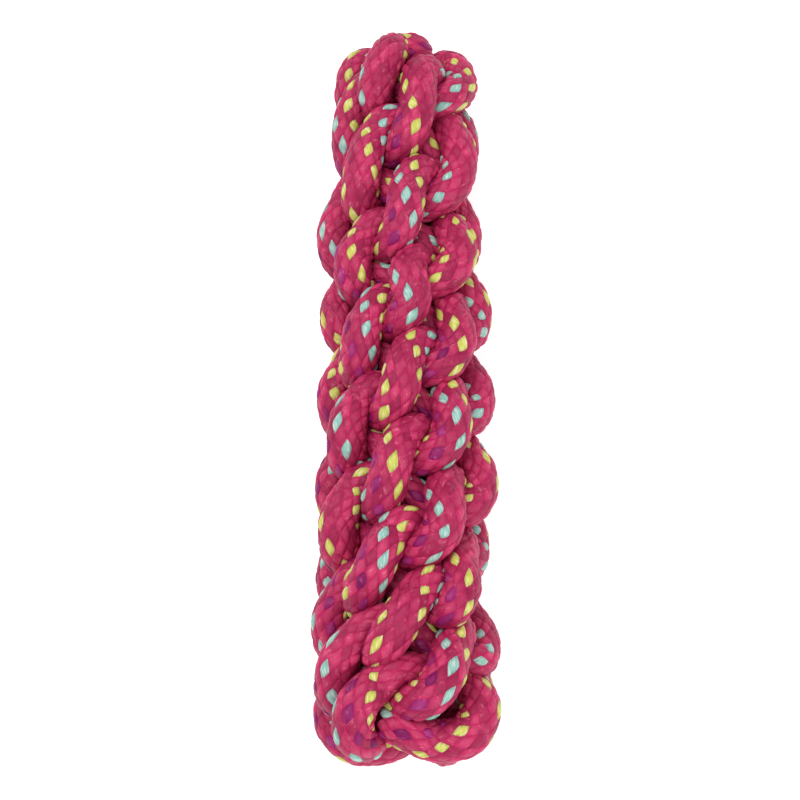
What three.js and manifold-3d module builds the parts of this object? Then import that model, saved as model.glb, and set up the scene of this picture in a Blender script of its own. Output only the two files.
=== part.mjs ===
// A rope stick for a dog to fetch and chew. Two lengths of soft braided rope cross at their middles,
// and their four legs are worked over one another, round after round, into a round crown knot with its
// ends tucked under. Millimetres, Z up. The stick lies along Y with its start at +Y, and the origin is
// on the floor under its middle.
import * as THREE from "three";
import Module from "manifold-3d";

// The rope
const ropeDiameter = 11;
const pressGap = 0.9; // kept between two passes of rope that press on each other
const bendShare = 0.85; // how near to the centre of a bend the inside of the rope may come
const floorCut = 1.1; // how far the floor flattens the lowest passes
const ropeSides = 6;
const ringsPerRound = 12;

// The knot
const bodyWidth = 51; // over the bellies of two opposite lobes
const startWidth = 46; // the same over the first rounds, which are pulled tighter
const finishWidth = 55.5; // and over the last crown
const tightRounds = 1.5; // rounds that keep the start's width
const fullRounds = 3.5; // rounds after which the body has its width
const eyeWidth = 9; // the hollow that the crossings leave down the middle
const turnPerRound = 139; // degrees from one crown to the next
const faceAngle = -5; // degrees that the whole knot is turned on the floor
const startTwist = 14; // degrees more that the first rounds are wrung round
const startRounds = [4.8, 6.2]; // rounds between which this twist dies away
const finishTwist = 40; // degrees more that the last rounds are wrung round
const finishRounds = 4; // rounds that share this twist

// The rise of each round, from the crossing of the two ropes to the last crown
const startRises = [9, 18.5, 18, 17, 10.5];
const bodyRise = 13.5;
const bodyRounds = 9;
const finishRise = 11;

// From the crossing a leg runs out flat and turns into its first lobe. One rope crosses on the outside
// in an arch, and the other is drawn in under it.
const legAngle = -68;
const legRadii = [9, 16];
const over = {
  legs: [1, 3],
  skew: -14,
  legHeights: [-3.5, -1],
  middle: { radius: 12, angle: -20, height: -4 },
};
const under = {
  legs: [0, 2],
  skew: -33,
  legHeights: [-5, -4],
  middle: { radius: 0, angle: 0, height: 12 },
};
const skewRounds = 2; // rounds over which a rope turns back square to the other

// The points that draw one round of a leg: how far out it is, from 0 at the crossing to 1 at the belly
// of the lobe, its angle in degrees, and its height in rounds. They steer a smooth line that passes
// close to them.
const roundPath = [
  { out: 0.66, angle: -70, height: -0.98 }, // comes out under the fold of the leg ahead
  { out: 0.98, angle: -67, height: -0.66 },
  { out: 1.07, angle: -65, height: -0.34 }, // belly of the lobe
  { out: 0.97, angle: -62, height: 0.02 },
  { out: 0.8, angle: -53, height: 0.29 }, // folds in over the leg behind
  { out: 0.12, angle: -39, height: 0.36 },
  { out: 0.09, angle: 1.5, height: 0.02 }, // crosses beside the eye
  { out: -0.03, angle: 30, height: -0.24 },
  { out: 0.6, angle: 58, height: -0.32 }, // runs out under the next fold
];
const lobeStart = 2; // the first lobe begins at its belly, because the leg comes to it from the crossing

// Lobes that were pulled out of line as the knot was worked, in the same measures as the points. A lean is
// how much more the angle grows from each point to the next.
const pulls = [
  { leg: 3, round: 2, angle: -4, lean: -3, height: -0.25 },
  { leg: 1, round: 3, angle: -10, height: -0.22 },
  { leg: 1, round: 4, out: 0.15 },
  { leg: 3, round: 4, out: -0.25 },
  { leg: 2, round: 5, angle: -10, height: -0.13 },
  { leg: 1, round: 6, angle: -4 },
  { leg: 0, round: 7, angle: -6 },
  { leg: 3, round: 12, angle: 26, height: 0.5 },
  { leg: 2, round: 13, angle: 13, height: 0.25 },
  { leg: 1, round: 13, out: -0.1, angle: 4, height: 0.4 },
  { leg: 3, round: 13, out: -0.1 },
  { leg: 0, round: 14, angle: 8, height: 0.3 },
  { leg: 2, round: 15, angle: 2 },
  { leg: 3, round: 15, angle: 12 },
];
const pullShares = [0.5, 1, 1, 1, 1, 0.5]; // from the point before the lobe to its fold

const roundRises = [...startRises, ...Array(bodyRounds).fill(bodyRise), finishRise];
const rounds = roundRises.length;
const ropeRadius = ropeDiameter / 2;
const bodyRadius = (bodyWidth - ropeDiameter) / 2;
const startRadius = (startWidth - ropeDiameter) / 2;
const finishRadius = (finishWidth - ropeDiameter) / 2;
const crossRadius = (eyeWidth + ropeDiameter) / 2;
const ringStep = roundPath.length / ringsPerRound;
const ownReach = 4; // points along a rope that count as the same pass

// Millimetres from the crossing to a height given in rounds
function heightAt(height) {
  const whole = THREE.MathUtils.clamp(Math.floor(height), 0, rounds - 1);
  const below = roundRises.slice(0, whole).reduce((sum, rise) => sum + rise, 0);
  return below + (height - whole) * roundRises[whole];
}

// Distance from the axis of the stick, which is drawn in at its start and spreads towards its finish
function radiusAt(out, height) {
  const opened = THREE.MathUtils.smoothstep(height, tightRounds, fullRounds);
  const spread = THREE.MathUtils.smoothstep(height, fullRounds, rounds);
  const drawnIn = (bodyRadius - startRadius) * (1 - opened);
  const belly = bodyRadius - drawnIn + (finishRadius - bodyRadius) * spread;
  return (belly / bodyRadius) * THREE.MathUtils.lerp(crossRadius, bodyRadius, out);
}

// A point from its distance to the axis, its angle from the top, and its height from the crossing
function knotPoint(radius, angle, height) {
  const turned = THREE.MathUtils.degToRad(angle + faceAngle);
  return new THREE.Vector3(-radius * Math.sin(turned), -height, radius * Math.cos(turned));
}

// What the pulls add to one point of a leg
function pullOn(leg, round, step) {
  const sum = { out: 0, angle: 0, height: 0 };
  for (const pull of pulls) {
    const pastLobeStart = (round - pull.round) * roundPath.length + step;
    const share = pull.leg === leg ? pullShares[pastLobeStart + 1] ?? 0 : 0;
    for (const key in sum) sum[key] += share * (pull[key] ?? 0);
    sum.angle += share * (pull.lean ?? 0) * (pastLobeStart - 2);
  }
  return sum;
}

function legPoints(leg, { skew, legHeights }) {
  const legTurn = 90 * leg;
  const start = legAngle + legTurn + skew + startTwist;
  const points = legRadii.map((radius, i) => knotPoint(radius, start, legHeights[i]));
  for (let round = 1; round <= rounds; round++) {
    const roundTurn = legTurn + turnPerRound * (round - 1);
    roundPath.forEach((step, i) => {
      if (round === 1 && i < lobeStart) return;
      const pull = pullOn(leg, round, i);
      const height = round + step.height;
      const skewed = skew * (1 - THREE.MathUtils.smoothstep(height, 0, skewRounds));
      const startWrung = startTwist * (1 - THREE.MathUtils.smoothstep(height, ...startRounds));
      const finishWrung = finishTwist * THREE.MathUtils.smoothstep(height, rounds - finishRounds, rounds);
      const angle = step.angle + pull.angle + roundTurn + skewed + startWrung + finishWrung;
      points.push(knotPoint(radiusAt(step.out + pull.out, height), angle, heightAt(height + pull.height)));
    });
  }
  return points;
}

// A rope is two opposite legs and the middle that they share
function ropePoints(rope) {
  const [back, ahead] = rope.legs.map((leg) => legPoints(leg, rope));
  const { radius, angle, height } = rope.middle;
  return [...back.reverse(), knotPoint(radius, angle, height), ...ahead];
}

// A smooth cubic line steered by the points: its place, direction and bend at a number of points along it
function lineAt(points, along) {
  const first = Math.min(Math.floor(along), points.length - 3);
  const u = along - first;
  const blend = (weights) => {
    const sum = new THREE.Vector3();
    weights.forEach((weight, i) => sum.addScaledVector(points[first - 1 + i], weight));
    return sum;
  };
  const place = [(1 - u) ** 3, 3 * u ** 3 - 6 * u ** 2 + 4, -3 * u ** 3 + 3 * u ** 2 + 3 * u + 1, u ** 3];
  const slope = [-((1 - u) ** 2), 3 * u ** 2 - 4 * u, -3 * u ** 2 + 2 * u + 1, u ** 2];
  const curve = [1 - u, 3 * u - 2, 1 - 3 * u, u];
  const run = blend(slope.map((weight) => weight / 2));
  const forward = run.clone().normalize();
  const bend = blend(curve);
  bend.addScaledVector(forward, -bend.dot(forward)).divideScalar(run.lengthSq());
  return { along, centre: blend(place.map((weight) => weight / 6)), forward, bend };
}

// Stations along a rope, two for each ring and one more
function lineStations(points) {
  const reach = points.length - 3;
  const count = 2 * Math.round(reach / ringStep);
  return Array.from({ length: count + 1 }, (_, i) => lineAt(points, 1 + (reach * i) / count));
}

// Points of the other passes that a station of a rope may press on
function neighboursOf(rope, station, lines) {
  const neighbours = [];
  lines.forEach((line, other) => {
    for (const point of line) {
      if (other === rope && Math.abs(point.along - station.along) < ownReach) continue;
      const away = point.centre.clone().sub(station.centre);
      const distance = away.length();
      if (distance < 2 * ropeDiameter) neighbours.push({ away, distance });
    }
  });
  return neighbours;
}

// The rope is round until it meets another pass: there it is pressed flat, halfway between the two lines
function pressedRadius({ bend, neighbours }, outward) {
  const bent = outward.dot(bend);
  let radius = bent > 0 ? Math.min(ropeRadius, bendShare / bent) : ropeRadius;
  for (const { away, distance } of neighbours) {
    const facing = outward.dot(away) / distance;
    if (facing > 0) {
      radius = Math.min(radius, (distance - pressGap) / 2 / facing);
    }
  }
  return radius;
}

// Rings of points round every second station, carried along without twisting. Each clears what the
// stations halfway to the next rings press on, too, so that the flat sides between two rings stay apart.
function ropeRings(rope, lines) {
  const stations = lines[rope];
  stations.forEach((station) => {
    station.neighbours = neighboursOf(rope, station, lines);
  });
  const side = new THREE.Vector3(0, 1, 0);
  const rings = [];
  for (let i = 0; i < stations.length; i += 2) {
    const { along, centre, forward } = stations[i];
    const near = stations.slice(Math.max(i - 1, 0), i + 2);
    side.addScaledVector(forward, -side.dot(forward)).normalize();
    const across = forward.clone().cross(side);
    const ring = [];
    for (let j = 0; j < ropeSides; j++) {
      const angle = (2 * Math.PI * j) / ropeSides;
      const outward = side.clone().multiplyScalar(Math.cos(angle));
      outward.addScaledVector(across, Math.sin(angle));
      const radius = Math.min(...near.map((station) => pressedRadius(station, outward)));
      ring.push(centre.clone().addScaledVector(outward, radius));
    }
    rings.push({ along, centre, ring });
  }
  return rings;
}

// Joins the rings into one closed tube with a flat fan over each end
function tubeSolid(wasm, rings) {
  const places = rings.flatMap(({ ring }) => ring.flatMap((point) => point.toArray()));
  const ends = [rings[0].centre, rings[rings.length - 1].centre];
  ends.forEach((centre) => places.push(...centre.toArray()));
  const startCentre = rings.length * ropeSides;
  const lastRing = startCentre - ropeSides;
  const triangles = [];
  for (let i = 0; i < ropeSides; i++) {
    const next = (i + 1) % ropeSides;
    for (let base = 0; base < lastRing; base += ropeSides) {
      const above = base + ropeSides;
      triangles.push(base + i, base + next, above + next, base + i, above + next, above + i);
    }
    triangles.push(startCentre, next, i, startCentre + 1, lastRing + i, lastRing + next);
  }
  const vertProperties = new Float32Array(places);
  const triVerts = new Uint32Array(triangles);
  return new wasm.Manifold(new wasm.Mesh({ numProp: 3, vertProperties, triVerts }));
}

function geometryOf(solid) {
  const { vertProperties, triVerts } = solid.getMesh();
  const geometry = new THREE.BufferGeometry();
  geometry.setAttribute("position", new THREE.BufferAttribute(vertProperties, 3));
  geometry.setIndex(new THREE.BufferAttribute(triVerts, 1));
  geometry.computeVertexNormals();
  return geometry;
}

// The least distance between points on two passes, of one rope or of both
function leastGap(ropes) {
  const rings = ropes.flatMap((rope, index) => rope.map((ring) => ({ ...ring, index })));
  let least = Infinity;
  rings.forEach((one, i) => {
    for (const two of rings.slice(i + 1)) {
      if (one.index === two.index && Math.abs(one.along - two.along) < ownReach) continue;
      if (one.centre.distanceTo(two.centre) > 2 * ropeDiameter) continue;
      for (const a of one.ring) {
        for (const b of two.ring) least = Math.min(least, a.distanceTo(b));
      }
    }
  });
  return least;
}

const wasm = await Module();
wasm.setup();

const lines = [over, under].map((rope) => lineStations(ropePoints(rope)));
const ropes = lines.map((_, rope) => ropeRings(rope, lines));
console.log(`least gap between passes of rope ${leastGap(ropes).toFixed(2)} mm`);

// The stick lies on the lowest lobe of each end third, so it leans by the difference of the two ends
const surface = ropes.flat().flatMap(({ ring }) => ring);
const knotBox = new THREE.Box3().setFromPoints(surface);
const endThird = (knotBox.max.y - knotBox.min.y) / 3;
const lowest = (points) => points.reduce((low, point) => (point.z < low.z ? point : low));
const startLow = lowest(surface.filter((point) => point.y > knotBox.max.y - endThird));
const finishLow = lowest(surface.filter((point) => point.y < knotBox.min.y + endThird));
const lean = Math.atan2(startLow.z - finishLow.z, startLow.y - finishLow.y);
const floorUp = new THREE.Vector3(0, -Math.sin(lean), Math.cos(lean));
const heights = surface.map((point) => floorUp.dot(point));
const floorHeight = heights.reduce((least, height) => Math.min(least, height)) + floorCut;

const stick = new THREE.Group();
stick.rotation.x = -lean;
["rope_over", "rope_under"].forEach((name, i) => {
  const solid = tubeSolid(wasm, ropes[i]).trimByPlane(floorUp.toArray(), floorHeight);
  const material = new THREE.MeshStandardMaterial({ color: 0xc62a62, roughness: 0.6, metalness: 0 });
  const mesh = new THREE.Mesh(geometryOf(solid), material);
  mesh.name = name;
  stick.add(mesh);
});

const box = new THREE.Box3().setFromObject(stick, true);
const middle = box.getCenter(new THREE.Vector3());
stick.position.set(-middle.x, -middle.y, -box.min.z);

const toy = new THREE.Group();
toy.add(stick);

export default toy;
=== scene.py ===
import math

import bpy
import numpy as np
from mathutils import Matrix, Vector


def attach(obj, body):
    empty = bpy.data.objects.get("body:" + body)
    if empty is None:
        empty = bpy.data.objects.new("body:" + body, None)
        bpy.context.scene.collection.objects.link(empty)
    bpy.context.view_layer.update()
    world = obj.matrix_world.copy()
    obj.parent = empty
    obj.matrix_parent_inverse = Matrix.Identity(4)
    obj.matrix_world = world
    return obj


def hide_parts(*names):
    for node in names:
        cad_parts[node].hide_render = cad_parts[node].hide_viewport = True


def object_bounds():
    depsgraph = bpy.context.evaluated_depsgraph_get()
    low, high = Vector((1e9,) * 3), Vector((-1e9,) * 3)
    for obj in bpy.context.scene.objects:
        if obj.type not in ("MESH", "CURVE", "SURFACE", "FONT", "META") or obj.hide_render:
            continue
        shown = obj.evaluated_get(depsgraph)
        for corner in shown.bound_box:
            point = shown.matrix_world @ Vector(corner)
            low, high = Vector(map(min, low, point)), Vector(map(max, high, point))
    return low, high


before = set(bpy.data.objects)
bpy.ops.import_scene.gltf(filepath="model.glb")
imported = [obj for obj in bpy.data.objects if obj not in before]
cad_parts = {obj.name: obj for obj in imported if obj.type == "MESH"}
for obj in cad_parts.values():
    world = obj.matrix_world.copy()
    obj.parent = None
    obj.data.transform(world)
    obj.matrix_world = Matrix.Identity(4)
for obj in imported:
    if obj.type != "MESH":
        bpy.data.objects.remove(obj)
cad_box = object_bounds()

# The knot. Two ropes cross at their middles, and their four legs are crowned over one another, round
# after round: a leg runs down outside as a lobe, folds in over the leg behind, crosses beside the eye
# and runs out under the leg ahead. The stick lies along Y with its start at +Y. Metres and degrees.
rope_diameter = 0.011
body_width = 0.051
start_width = 0.046
finish_width = 0.0555
eye_width = 0.009
tight_rounds, full_rounds = 1.5, 3.5
turn_per_round = 139
face_angle = -5
start_twist, start_rounds = 14, (4.8, 6.2)
finish_twist, finish_rounds = 40, 4
round_rises = [0.009, 0.0185, 0.018, 0.017, 0.0105] + 9 * [0.0135] + [0.011]
rounds = len(round_rises)
leg_angle = -68
leg_radii = [0.009, 0.016]
over_rope = {"legs": (1, 3), "skew": -14, "leg_heights": [-0.0035, -0.001], "middle": (0.012, -20, -0.004)}
under_rope = {"legs": (2, 0), "skew": -33, "leg_heights": [-0.005, -0.004], "middle": (0, 0, 0.012)}
skew_rounds = 2
round_path = np.array([
    # how far out, angle, height in rounds
    (0.66, -70, -0.98),
    (0.98, -67, -0.66),
    (1.07, -65, -0.34),
    (0.97, -62, 0.02),
    (0.8, -53, 0.29),
    (0.12, -39, 0.36),
    (0.09, 1.5, 0.02),
    (-0.03, 30, -0.24),
    (0.6, 58, -0.32),
])
lobe_start = 2
lobe_pulls = [
    # leg and round of a lobe that was pulled out of line, how far in the same measures, and its slant
    (3, 2, 0, -4, -0.25, -3),
    (1, 3, 0, -10, -0.22, 0),
    (1, 4, 0.15, 0, 0, 0),
    (3, 4, -0.25, 0, 0, 0),
    (2, 5, 0, -10, -0.13, 0),
    (1, 6, 0, -4, 0, 0),
    (0, 7, 0, -6, 0, 0),
    (3, 12, 0, 26, 0.5, 0),
    (2, 13, 0, 13, 0.25, 0),
    (1, 13, -0.1, 4, 0.4, 0),
    (3, 13, -0.1, 0, 0, 0),
    (0, 14, 0, 8, 0.3, 0),
    (2, 15, 0, 2, 0, 0),
    (3, 15, 0, 12, 0, 0),
]
pull_shares = np.array([0.5, 1, 1, 1, 1, 0.5])
slant_steps = np.arange(-3, 3)
crossing_place = np.array([0.00028, 0.10266, 0.02385])
stick_lean = math.radians(0.7646)


def smooth_step(value, low, high):
    """Rises from 0 at low to 1 at high as 3 t squared minus 2 t cubed."""
    t = np.clip((value - low) / (high - low), 0, 1)
    return t * t * (3 - 2 * t)


def knot_points(radius, angle, height):
    """Points at a radius and an angle round the stick's axis and a height down it from the crossing,
    leaned about X so that the stick lies flat."""
    turned = np.radians(angle + face_angle)
    across, down, up = -radius * np.sin(turned), -height, radius * np.cos(turned)
    y = down * math.cos(stick_lean) + up * math.sin(stick_lean)
    z = up * math.cos(stick_lean) - down * math.sin(stick_lean)
    return np.stack([across, y, z], axis=-1) + crossing_place


def leg_points(leg, skew, leg_heights):
    """The points that steer one leg: two on the way out of the crossing, then the round path once for each
    round, turned on, risen, drawn in at the start, spread at the finish, wrung at both ends and pulled."""
    pull = np.zeros((rounds * len(round_path), 3))
    for pulled_leg, pulled_round, *amounts, slant in lobe_pulls:
        if pulled_leg == leg:
            before = (pulled_round - 1) * len(round_path) - 1
            lobe = pull[before : before + len(pull_shares)]
            lobe += np.outer(pull_shares, amounts)
            lobe[:, 1] += pull_shares * slant * slant_steps
    out, angle, height = np.tile(round_path, (rounds, 1))[lobe_start:].T
    pull_out, pull_angle, pull_height = pull[lobe_start:].T
    turns = np.repeat(np.arange(rounds), len(round_path))[lobe_start:]
    height = height + turns + 1

    body, start, finish = ((width - rope_diameter) / 2 for width in (body_width, start_width, finish_width))
    cross = (eye_width + rope_diameter) / 2
    opened = smooth_step(height, tight_rounds, full_rounds)
    spread = smooth_step(height, full_rounds, rounds)
    belly = body - (body - start) * (1 - opened) + (finish - body) * spread
    radius = belly / body * (cross + (body - cross) * (out + pull_out))

    angle = angle + pull_angle + 90 * leg + turn_per_round * turns
    angle = angle + skew * (1 - smooth_step(height, 0, skew_rounds))
    angle = angle + start_twist * (1 - smooth_step(height, *start_rounds))
    angle = angle + finish_twist * smooth_step(height, rounds - finish_rounds, rounds)

    crowns = np.concatenate([[0], np.cumsum(round_rises + round_rises[-1:])])
    height = np.interp(height + pull_height, np.arange(rounds + 2), crowns)
    leg_turn = leg_angle + 90 * leg + skew + start_twist
    run_out = knot_points(np.array(leg_radii), leg_turn, np.array(leg_heights))
    return np.concatenate([run_out, knot_points(radius, angle, height)])


def rope_points(legs, skew, leg_heights, middle):
    """Two opposite legs, joined at the rope's middle."""
    back, ahead = (leg_points(leg, skew, leg_heights) for leg in legs)
    return np.concatenate([back[::-1], [knot_points(*middle)], ahead])


def cubic_line(points, along):
    """The uniform cubic B-spline of the points: its place, first and second derivative at each along."""
    first = np.minimum(np.floor(along).astype(int), len(points) - 3)
    u = (along - first)[:, None]
    steered = [points[first - 1 + i] for i in range(4)]

    def blend(*weights):
        return sum(weight * point for weight, point in zip(weights, steered))

    place = blend((1 - u) ** 3, 3 * u**3 - 6 * u**2 + 4, -3 * u**3 + 3 * u**2 + 3 * u + 1, u**3) / 6
    slope = blend(-((1 - u) ** 2), 3 * u**2 - 4 * u, -3 * u**2 + 2 * u + 1, u**2) / 2
    return place, slope, blend(1 - u, 3 * u - 2, 1 - 3 * u, u)


# The ropes' soft cores. A core follows its rope's line and is round only where nothing touches it: against
# another pass of rope it presses flat halfway between the two lines, and a fold crushes it on the inside.
fine_steps = 20  # for each steering point, to measure length
station_step = 0.001
section_sides = 48
fullness = 1.02  # of the round radius
fold_share = 0.9  # of a bend's radius, which the inside of the fold may reach
own_reach = 0.024  # along its own line, beyond which a rope counts as another pass
touch_reach = 1.6 * rope_diameter
pass_stride = 3  # in stations, between the points of a pass that are looked at
blur_shifts = (1, 2, 4)  # in stations
sheath_slip = 0.65  # of the extra length on the outside of a bend
never_zero = 1e-6


def unit(vectors):
    return vectors / np.linalg.norm(vectors, axis=-1, keepdims=True)


def rope_line(points):
    """Stations at even steps of length along a rope's line, each with its place, its bend and two
    directions across that are carried along without twisting. Yarns don't stretch, so the sheath's length
    is the length along the outside of each bend, and the sheath bunches up on the inside."""
    fine = np.linspace(1, len(points) - 2, fine_steps * len(points))
    hops = np.linalg.norm(np.diff(cubic_line(points, fine)[0], axis=0), axis=1)
    length = np.concatenate([[0], np.cumsum(hops)])
    count = int(length[-1] / station_step)
    place, slope, curve = cubic_line(points, np.interp(np.linspace(0, length[-1], count), length, fine))
    forward = unit(slope)
    curve = curve - (curve * forward).sum(1, keepdims=True) * forward
    bend = curve / (slope**2).sum(1, keepdims=True)
    side = np.empty_like(forward)
    carried = np.array([0, 1, 0])
    for i, ahead in enumerate(forward):
        carried = unit(carried - carried @ ahead * ahead)
        side[i] = carried
    across = np.cross(forward, side)
    sheath = np.cumsum(1 + sheath_slip * np.linalg.norm(bend, axis=1) * rope_diameter / 2) * station_step
    return {"place": place, "bend": bend, "side": side, "across": across, "sheath": sheath}


lines = {
    "rope_over": rope_line(rope_points(**over_rope)),
    "rope_under": rope_line(rope_points(**under_rope)),
}


def pressed_radius(name):
    """The core's radius at each station in each of the directions round it: the least of the round radius,
    the distance to the inside of a fold, and half the distance to each other pass, divided by how squarely
    the direction faces it. A small blur rounds the corners where two flats meet."""
    line = lines[name]
    turn = 2 * np.pi * np.arange(section_sides) / section_sides
    side_part, across_part = np.cos(turn)[:, None], np.sin(turn)[:, None]
    outward = side_part * line["side"][:, None] + across_part * line["across"][:, None]
    bent = (outward * line["bend"][:, None]).sum(2)
    radius = np.minimum(fullness * rope_diameter / 2, fold_share / np.maximum(bent, never_zero))
    for other, passes in lines.items():
        points = passes["place"][::pass_stride]
        stations = pass_stride * np.arange(len(points))
        for i, (here, directions) in enumerate(zip(line["place"], outward)):
            away = points - here
            distance = np.linalg.norm(away, axis=1)
            near = distance < touch_reach
            if other == name:
                near &= np.abs(stations - i) > int(own_reach / station_step)
            facing = directions @ (away[near] / distance[near, None]).T
            flat = distance[near] / 2 / np.maximum(facing, never_zero)
            radius[i] = np.minimum(radius[i], flat.min(axis=1, initial=1))
    for shift in blur_shifts:
        around = (np.roll(radius, 1, 1) + 2 * radius + np.roll(radius, -1, 1)) / 4
        padded = np.pad(around, ((shift, shift), (0, 0)), mode="edge")
        radius = (padded[: -2 * shift] + 2 * around + padded[2 * shift :]) / 4
    return radius


radii = {name: pressed_radius(name) for name in lines}

# The braided sheaths. Ten flat yarns of polypropylene filament run each way round a rope, over one and
# under one, so that each shows as a row of diamonds. The yarns of one lay are all pink. In the other lay
# three or four are teal, yellow or purple, a little wider than the pink ones between them.
yarns = 10
row_pitch = 0.0067
yarn_rise = 0.00045
swell_power = 0.8
plump_least, plump_most = 0.5, 1.3  # pink yarns
crease_depth = 0.00011
cell_cuts = np.array([0, 0.14, 0.36, 0.64, 0.86, 1])
cell_steps = len(cell_cuts) - 1
right_cut, left_cut = np.meshgrid(cell_cuts, cell_cuts, indexing="ij")
cell_bow = 0.02
fleck_growth = 0.04
blunt_tip = 0.18
yarn_wander = 0.12
wander_seed = 3
most_rows = 2000
floor_softness = 0.0006
dyes = {
    "pink": (0.46, 0.0145, 0.095),
    "purple": (0.285, 0.002, 0.122),
    "teal": (0.315, 0.585, 0.52),
    "yellow": (0.65, 0.66, 0.125),
}
dye_least, dye_most = 0.76, 1.3  # pink and purple yarns
lay_orders = {
    "rope_over": ["yellow", "pink", "purple", "pink", "teal", "pink", "pink", "pink", "pink", "pink"],
    "rope_under": ["yellow", "pink", "teal", "pink", "purple", "pink", "yellow", "pink", "pink", "pink"],
}


def on_rope(rope, length, turn, rise):
    """Points on a rope at a length along its sheath and a turn round it, standing rise proud of the pressed
    core. Those that would sink into the floor are bent to lie along it."""
    line, radius = lines[rope], radii[rope]
    at = np.interp(length, line["sheath"], np.arange(len(line["sheath"])))
    low = np.minimum(at.astype(int), len(line["place"]) - 2)
    share = at - low
    side_at = turn / (2 * np.pi) * section_sides
    side_low = np.floor(side_at).astype(int)
    side_share = side_at - side_low
    a, b = side_low % section_sides, (side_low + 1) % section_sides
    near = radius[low, a] * (1 - side_share) + radius[low, b] * side_share
    far = radius[low + 1, a] * (1 - side_share) + radius[low + 1, b] * side_share
    out = near * (1 - share) + far * share + rise

    def between(key):
        return line[key][low] * (1 - share)[:, None] + line[key][low + 1] * share[:, None]

    outward = np.cos(turn)[:, None] * between("side") + np.sin(turn)[:, None] * between("across")
    points = between("place") + out[:, None] * outward
    height = points[:, 2]
    points[:, 2] = (height + np.sqrt(height**2 + floor_softness**2)) / 2
    return points


def yarn_cells(rope, rows):
    """The cells of some rows of a sheath and of one more row at each end: row, lines and dye. Two sets of
    yarn lines cross in a skewed grid, half a row up and half a yarn to the right or left for each cell.
    Even rows show the lay with the coloured yarns. Coloured cells come first, to set the shared edges."""
    row = np.repeat(np.arange(rows[0] - 1, rows[-1] + 2), yarns)
    column = 2 * np.tile(np.arange(yarns), len(rows) + 2) + row % 2
    right, left = (row + column) // 2, (row - column) // 2
    dye = np.where(row % 2 == 0, np.array(lay_orders[rope])[right % yarns], "pink")
    coloured_first = np.argsort(dye == "pink", kind="stable")
    return (part[coloured_first] for part in (row, right, left, dye))


def cell_places(row, right, left, dye):
    """Where each cell's grid of points lies, counted in lines of both sets. Coloured cells are wider, with
    blunt tips: their reach up and aside grows, less the cube of itself. The lines bow in and out between
    the crossings as a sine, and stray with the crossings, each of which wanders a little at random."""
    coloured = (dye != "pink")[:, None, None]
    reach = right_cut + left_cut - 1, right_cut - left_cut
    up, aside = (part * (1 + coloured * (fleck_growth - blunt_tip * part**2)) for part in reach)
    right_in, left_in = (1 + up + aside) / 2, (1 + up - aside) / 2
    crossings = (2, most_rows, 2 * yarns)
    wander = np.random.default_rng(wander_seed).uniform(-yarn_wander, yarn_wander, crossings)

    def corner(a, b):
        crossing = row + a + b, (right - left + a - b) % (2 * yarns)
        share = (right_cut if a else 1 - right_cut) * (left_cut if b else 1 - left_cut)
        return wander[:, *crossing][:, :, None, None] * share

    stray = corner(0, 0) + corner(1, 0) + corner(0, 1) + corner(1, 1)
    right_at = right[:, None, None] + right_in + cell_bow * np.sin(2 * np.pi * left_in) + stray[0]
    left_at = left[:, None, None] + left_in + cell_bow * np.sin(2 * np.pi * right_in) + stray[1]
    return right_at, left_at


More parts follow.
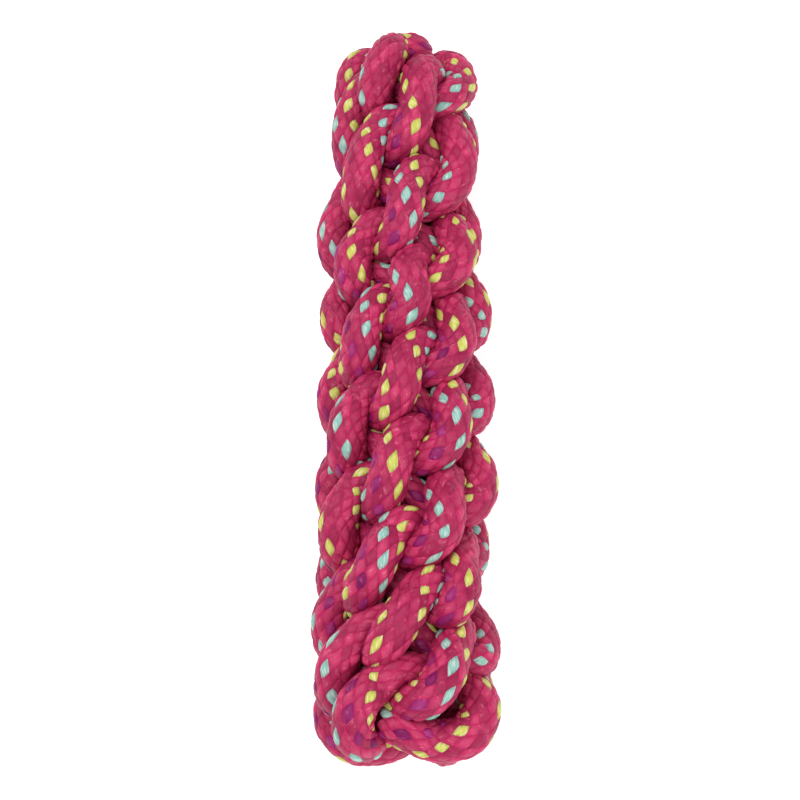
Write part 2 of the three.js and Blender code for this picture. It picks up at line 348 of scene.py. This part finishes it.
def braided_leg(name, rope, rows, material):
    """The sheath of half a rope. A cell swells along the yarn that shows in it as a sine and across it as a
    rounded flat, and sinks to one crease on all its edges, where it is merged with its neighbours. A fan
    closes each end. The mesh keeps each cell's dye, and each corner's place along and over its yarn."""
    row, right, left, dye = yarn_cells(rope, rows)
    own = (row >= rows[0]) & (row <= rows[-1])
    seed = np.random.default_rng([len(rope), rows[0]]).random(len(row))
    right_at, left_at = cell_places(row, right, left, dye)

    step = np.arange(cell_steps + 1)
    right_key = cell_steps * right[:, None, None] + step[:, None]
    left_key = cell_steps * left[:, None, None] + step
    right_key, left_key = np.broadcast_arrays(right_key, left_key)
    keys_round = 2 * cell_steps * yarns
    key = (right_key + left_key) * keys_round + (right_key - left_key) % keys_round
    _, first, merged = np.unique(key, return_index=True, return_inverse=True)

    def cell_corners(values):
        quads = [values[:, :-1, :-1], values[:, 1:, :-1], values[:, 1:, 1:], values[:, :-1, 1:]]
        return np.stack(quads, axis=-1)[own].reshape(-1, 4)

    used, quads = np.unique(cell_corners(merged.reshape(key.shape)), return_inverse=True)
    quads = quads.reshape(-1, 4)
    first = first[used]

    coloured_lay = (row % 2 == 0)[:, None, None]
    along = np.where(coloured_lay, left_cut, right_cut)
    over = np.where(coloured_lay, right_cut, left_cut)
    swell = np.maximum(np.sin(np.pi * along), 0) ** swell_power * np.sqrt(1 - (2 * over - 1) ** 4)
    plump = np.where(dye == "pink", plump_least + (plump_most - plump_least) * seed, 1)
    rise = swell * yarn_rise * plump[:, None, None] - crease_depth
    length = ((right_at + left_at) / 2 * row_pitch).ravel()[first]
    turn = ((right_at - left_at) / yarns * np.pi).ravel()[first]
    points = on_rope(rope, length, turn, rise.ravel()[first])

    sides = np.stack([quads, np.roll(quads, -1, axis=1)], axis=-1).reshape(-1, 2)
    _, side_at, uses = np.unique(np.sort(sides, axis=1), axis=0, return_index=True, return_counts=True)
    border = sides[side_at[uses == 1]]
    at_end = (length[border[:, 0]] > length.mean()).astype(int)
    centres = [points[border[at_end == end, 0]].mean(axis=0) for end in (0, 1)]
    fans = np.column_stack([border[:, ::-1], len(points) + at_end])
    mesh = bpy.data.meshes.new(name)
    mesh.from_pydata(np.concatenate([points, centres]), [], quads.tolist() + fans.tolist())
    mesh.shade_smooth()

    on_right_line = np.append((right_key % cell_steps == 0).ravel()[first], [False, False])
    on_left_line = np.append((left_key % cell_steps == 0).ravel()[first], [False, False])
    ends = np.empty(2 * len(mesh.edges), np.int32)
    mesh.edges.foreach_get("vertices", ends)
    ends = ends.reshape(-1, 2)
    crease = on_right_line[ends].all(1) | on_left_line[ends].all(1)
    mesh.attributes.new("sharp_edge", "BOOLEAN", "EDGE").data.foreach_set("value", crease)

    pale = np.isin(dye, ["teal", "yellow"])[:, None]
    depth = np.where(pale, 1, dye_least + (dye_most - dye_least) * seed[:, None])
    cell_dye = np.array([dyes[kind] for kind in dye]) * depth
    cell_colour = np.concatenate([cell_dye, pale], axis=1)[own]
    colour = np.tile(np.float32([*dyes["pink"], 0]), (len(quads) + len(fans), 1))
    colour[: len(quads)] = np.repeat(cell_colour, cell_steps**2, axis=0)
    mesh.attributes.new("yarn_dye", "FLOAT_COLOR", "FACE").data.foreach_set("color", colour.ravel())

    seeds = np.broadcast_to(seed[:, None, None], along.shape)
    place = np.stack([cell_corners(values).ravel() for values in (along, over, seeds)], axis=-1)
    place = np.concatenate([place, np.zeros((3 * len(fans), 3))]).astype(np.float32)
    mesh.attributes.new("yarn_place", "FLOAT_VECTOR", "CORNER").data.foreach_set("vector", place.ravel())

    mesh.materials.append(material)
    piece = bpy.data.objects.new(name, mesh)
    bpy.context.scene.collection.objects.link(piece)
    return piece


class Socket:
    """A shader socket that takes part in Python expressions: each operator adds a Math node."""

    def __init__(self, tree, socket):
        self.tree, self.socket = tree, socket

    def node(self, kind, settings=None, out=0, **inputs):
        """Adds a node of that type, sets its settings, then its inputs by name, or by number as i0."""
        made = self.tree.nodes.new(kind)
        for key, value in (settings or {}).items():
            setattr(made, key, value)
        for key, value in inputs.items():
            target = made.inputs[int(key[1:])] if key[1:].isdigit() else made.inputs[key.replace("_", " ")]
            if isinstance(value, Socket):
                self.tree.links.new(value.socket, target)
            else:
                target.default_value = value
        return Socket(self.tree, made.outputs[out])

    def math(self, operation, *values):
        inputs = {f"i{i}": value for i, value in enumerate(values)}
        return self.node("ShaderNodeMath", {"operation": operation}, **inputs)

    def __add__(self, other):
        return self.math("ADD", self, other)

    def __sub__(self, other):
        return self.math("SUBTRACT", self, other)

    def __rsub__(self, other):
        return self.math("SUBTRACT", other, self)

    def __mul__(self, other):
        return self.math("MULTIPLY", self, other)

    __radd__ = __add__
    __rmul__ = __mul__


def braid_finish():
    """Satin filament yarn. Noise drawn out along each yarn streaks its colour, gloss and relief, and a
    finer noise mottles the pink and purple yarns, which carry painted glints where both are high and a
    painted sheen on each yarn's crown. Painted shade darkens a yarn where it dips under others. The pale
    yarns show white filaments, partly a painted highlight, and painted shade at the rim of each cell."""
    streaks_along, streaks_across = 1.5, 7
    mottle_scale = 420.0
    # threshold above which painted glints appear
    painted_glint_least = 0.12
    # weights of the tone: painted shade at dips and pale rims, beside random tone from streaks and mottle
    full_shade, painted_dip_shade, painted_rim_shade = 0.92, 0.11, 0.3
    streak_shade, pale_streak_shade, mottle_shade = 0.7, 0.3, 0.65
    # white mixed into the colour: filaments, partly a painted highlight, and painted sheen and glints
    filament_and_painted_sheen_white = (0.85, 0.75, 0.68, 1)
    pale_filament_and_highlight, painted_sheen_white, painted_glint_white = 2.8, 0.045, 0.5
    satin_rough, streak_rough = 0.5, 0.4
    material = bpy.data.materials.new("braided_yarn")
    material.use_nodes = True
    tree = material.node_tree
    shader = tree.nodes["Principled BSDF"]
    here = Socket(tree, None)
    dye, pale = (here.node("ShaderNodeAttribute", {"attribute_name": "yarn_dye"}, out=i) for i in (0, 3))
    place = here.node("ShaderNodeAttribute", {"attribute_name": "yarn_place"}, out=1)
    along, over, seed = (here.node("ShaderNodeSeparateXYZ", i0=place, out=i) for i in range(3))

    # The seed shifts the streaks, so that no two cells have the same.
    spot_along = along * streaks_along + seed * 31
    spot_across = over * streaks_across + seed * 17
    spot = here.node("ShaderNodeCombineXYZ", i0=spot_along, i1=spot_across, i2=seed * 5)
    streak = here.node("ShaderNodeTexNoise", Vector=spot, Scale=1.0, Detail=3.0, Roughness=0.6) - 0.5
    where = here.node("ShaderNodeTexCoord", out=3)
    mottle = here.node("ShaderNodeTexNoise", Vector=where, Scale=mottle_scale, Detail=2.0, Roughness=0.6)
    mottle = mottle - 0.5
    from_middle, from_centre = (here.math("ABSOLUTE", 2 * part - 1) for part in (along, over))
    # painted shade where a yarn dips under its neighbours, darkest at the ends of its cell
    dip = here.math("POWER", from_middle, 2.0)
    # painted shade at the rim of each pale cell
    rim = here.math("POWER", here.math("MAXIMUM", from_middle, from_centre), 4.0)
    # the yarn's crown, which takes a painted sheen on the pink and purple yarns
    crown = (1 - dip) * (1 - here.math("POWER", from_centre, 2.0))
    # white filaments on the pale yarns, partly a painted highlight
    bright = here.math("MAXIMUM", streak, 0.0)
    # painted glints on the pink and purple yarns where streak and mottle are both high
    painted_glint = here.math("MAXIMUM", streak + mottle - painted_glint_least, 0.0)

    # tone: painted shade at dips and pale rims, with random tone from streaks and mottle
    shade = full_shade - painted_dip_shade * dip - painted_rim_shade * pale * rim
    shade = shade + (streak_shade + pale_streak_shade * pale) * streak + mottle_shade * mottle * (1 - pale)
    # the dye times the tone, painted shade included
    dyed_and_shaded = here.node("ShaderNodeVectorMath", {"operation": "SCALE"}, i0=dye, Scale=shade)
    # white share: filaments on pale yarns, partly a painted highlight, and painted sheen and glints on the
    # rest
    white = pale * pale_filament_and_highlight * bright + (1 - pale) * (painted_sheen_white * crown * seed + painted_glint_white * painted_glint)
    mixed = here.node("ShaderNodeMix", {"data_type": "RGBA"}, out=2, i0=white, i6=dyed_and_shaded, i7=filament_and_painted_sheen_white)
    rough = satin_rough + streak_rough * streak
    bump = here.node("ShaderNodeBump", Strength=0.5, Distance=0.0003, Height=streak + mottle)
    tree.links.new(mixed.socket, shader.inputs["Base Color"])
    tree.links.new(rough.socket, shader.inputs["Roughness"])
    tree.links.new(bump.socket, shader.inputs["Normal"])
    shader.inputs["Specular IOR Level"].default_value = 0.2
    return material


# Each sheath is made in two halves that meet at the rope's middle. A half is named for the side of the
# crossing that its leg leaves from.
yarn_finish = braid_finish()
for rope, first, second in (("rope_over", "front", "back"), ("rope_under", "left", "right")):
    row_count = int(2 * lines[rope]["sheath"][-1] / row_pitch)
    halves = np.array_split(np.arange(row_count), 2)
    for side, rows in zip((first, second), halves):
        leg = braided_leg(f"{rope}_{side}_leg", rope, rows, yarn_finish)
        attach(leg, "root")
        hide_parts(rope)

# The studio: a white table under soft light from all round, brighter from above.
table_half = 3
table_height = -0.0002
table_corners = [(-1, -1, 0), (1, -1, 0), (1, 1, 0), (-1, 1, 0)]
table = bpy.data.meshes.new("table")
table.from_pydata(table_half * np.array(table_corners) + (0, 0, table_height), [], [(0, 1, 2, 3)])
table_white = bpy.data.materials.new("table_white")
table_white.use_nodes = True
table_shader = table_white.node_tree.nodes["Principled BSDF"]
table_shader.inputs["Base Color"].default_value = (0.9, 0.9, 0.9, 1)
table_shader.inputs["Roughness"].default_value = 0.9
table_shader.inputs["Emission Color"].default_value = (1, 1, 1, 1)
table_shader.inputs["Emission Strength"].default_value = 0.5
table.materials.append(table_white)
table_top = bpy.data.objects.new("table", table)
bpy.context.scene.collection.objects.link(table_top)

world = bpy.data.worlds.new("studio")
bpy.context.scene.world = world
world.use_nodes = True
world.node_tree.nodes["Background"].inputs["Color"].default_value = (1, 1, 1, 1)
world.node_tree.nodes["Background"].inputs["Strength"].default_value = 0.54

light_panels = {
    # place, size, watts
    "overhead": ((-0.35, 0.25, 1.0), 0.7, 7),
    "front": ((0.5, -0.6, 0.7), 0.6, 4),
}
for name, (place, size, watts) in light_panels.items():
    lamp = bpy.data.lights.new(name, "AREA")
    lamp.size = size
    lamp.energy = watts
    panel = bpy.data.objects.new(name, lamp)
    panel.location = place
    panel.rotation_euler = (-Vector(place)).to_track_quat("-Z", "Y").to_euler()
    bpy.context.scene.collection.objects.link(panel)

# The camera looks down on the stick, a little from its finish, with the start at the top of the picture.
camera_tilt = math.radians(18) - stick_lean
camera_distance = 0.42
view_width = 0.24
sensor = 36
camera = bpy.data.cameras.new("camera")
camera.sensor_width = sensor
camera.lens = sensor * camera_distance / view_width
camera.shift_x, camera.shift_y = -0.006, -0.0287
view = Vector((0, -math.sin(camera_tilt), math.cos(camera_tilt)))
camera_stand = bpy.data.objects.new("camera", camera)
camera_stand.location = Vector((0, 0, cad_box[1][2] / 2)) + camera_distance * view
camera_stand.rotation_euler = (-view).to_track_quat("-Z", "Y").to_euler()
bpy.context.scene.collection.objects.link(camera_stand)
bpy.context.scene.camera = camera_stand
bpy.context.scene.view_settings.view_transform = "Standard"
